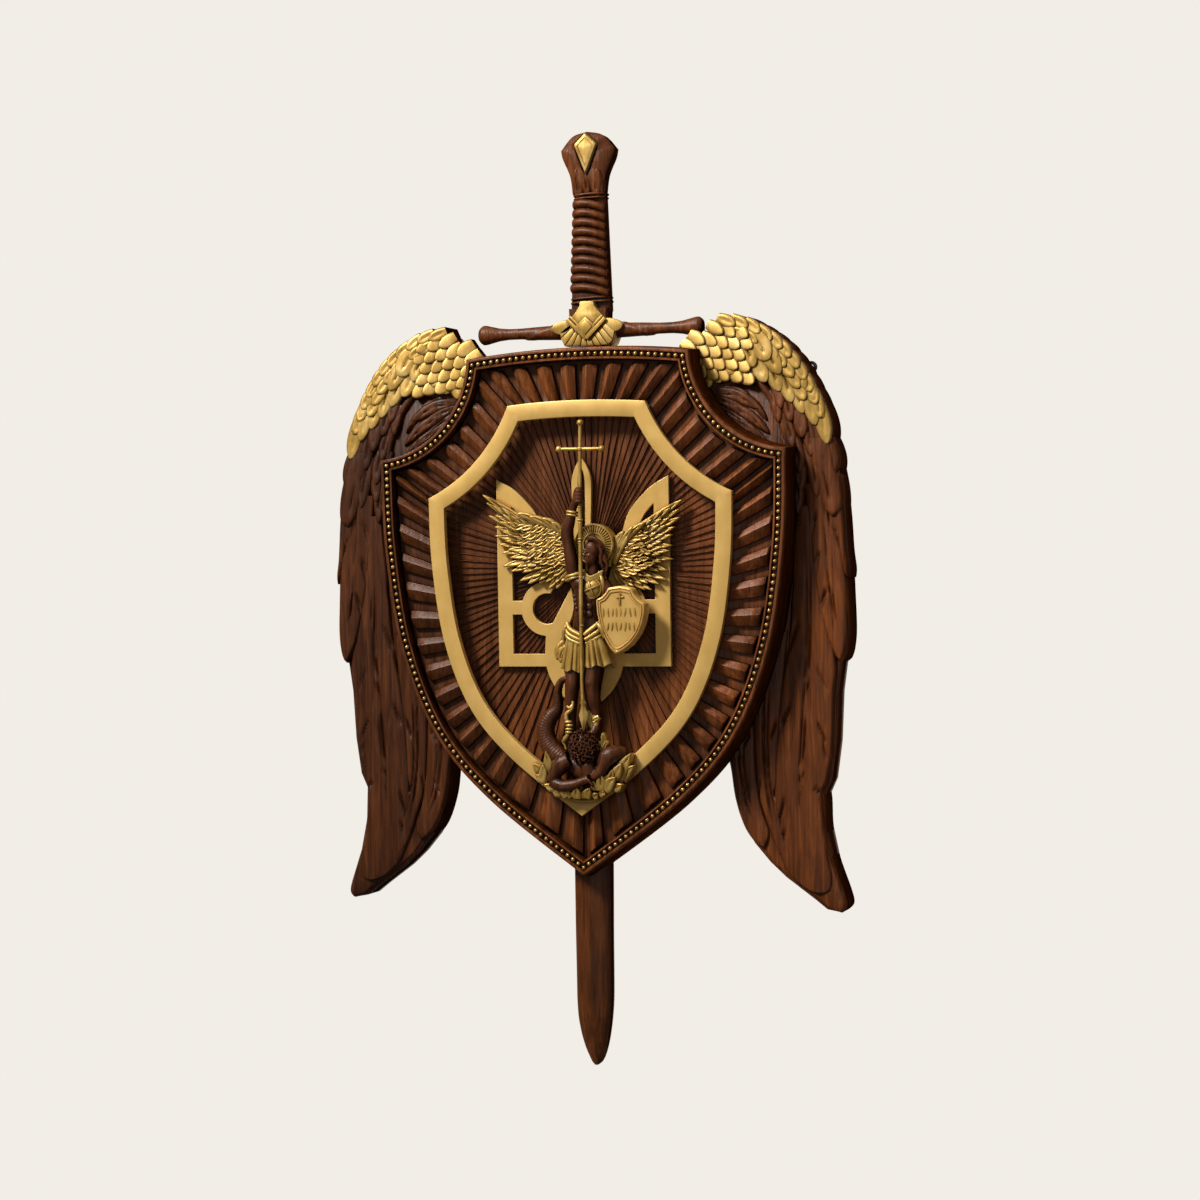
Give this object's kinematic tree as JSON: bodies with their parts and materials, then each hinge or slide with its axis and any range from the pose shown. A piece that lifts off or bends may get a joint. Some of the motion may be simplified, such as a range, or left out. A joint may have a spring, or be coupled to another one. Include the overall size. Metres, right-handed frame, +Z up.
{
  "type": "religious wall plaque",
  "caption": "Carved wooden wall plaque: a rayed shield with a gilt frame, fretwork and winged figure, laid over spread wings with an upright sword behind.",
  "frame": {"origin": "on the flat back of the wings' board, on the shield's centre line near mid height", "axes": "+X to the viewer's right, +Z up, +Y into the wall; the wall is the plane y = 0"},
  "size_m": [0.412, 0.071, 0.711],
  "materials": {
    "wing_wood": "dark walnut stain under satin varnish, with antique gold painted on the upper feathers",
    "shield_wood": "dark walnut stain under satin varnish, brassy painted beads round the rim",
    "sword_wood": "dark walnut stain under satin varnish, gold painted shell and pommel diamond",
    "satin_gold": "wood painted flat satin gold",
    "antique_gold": "wood painted antique gold over dark brown, with bare brown skin parts",
    "dark_metal": "darkened steel"
  },
  "bodies": {
    "root": {"wings": "wing_wood", "shield": "shield_wood", "sword": "sword_wood", "shield_frame": "satin_gold", "fretwork": "satin_gold", "archangel": "antique_gold", "right_hanger": "dark_metal", "left_hanger": "dark_metal"}
  },
  "joints": []
}
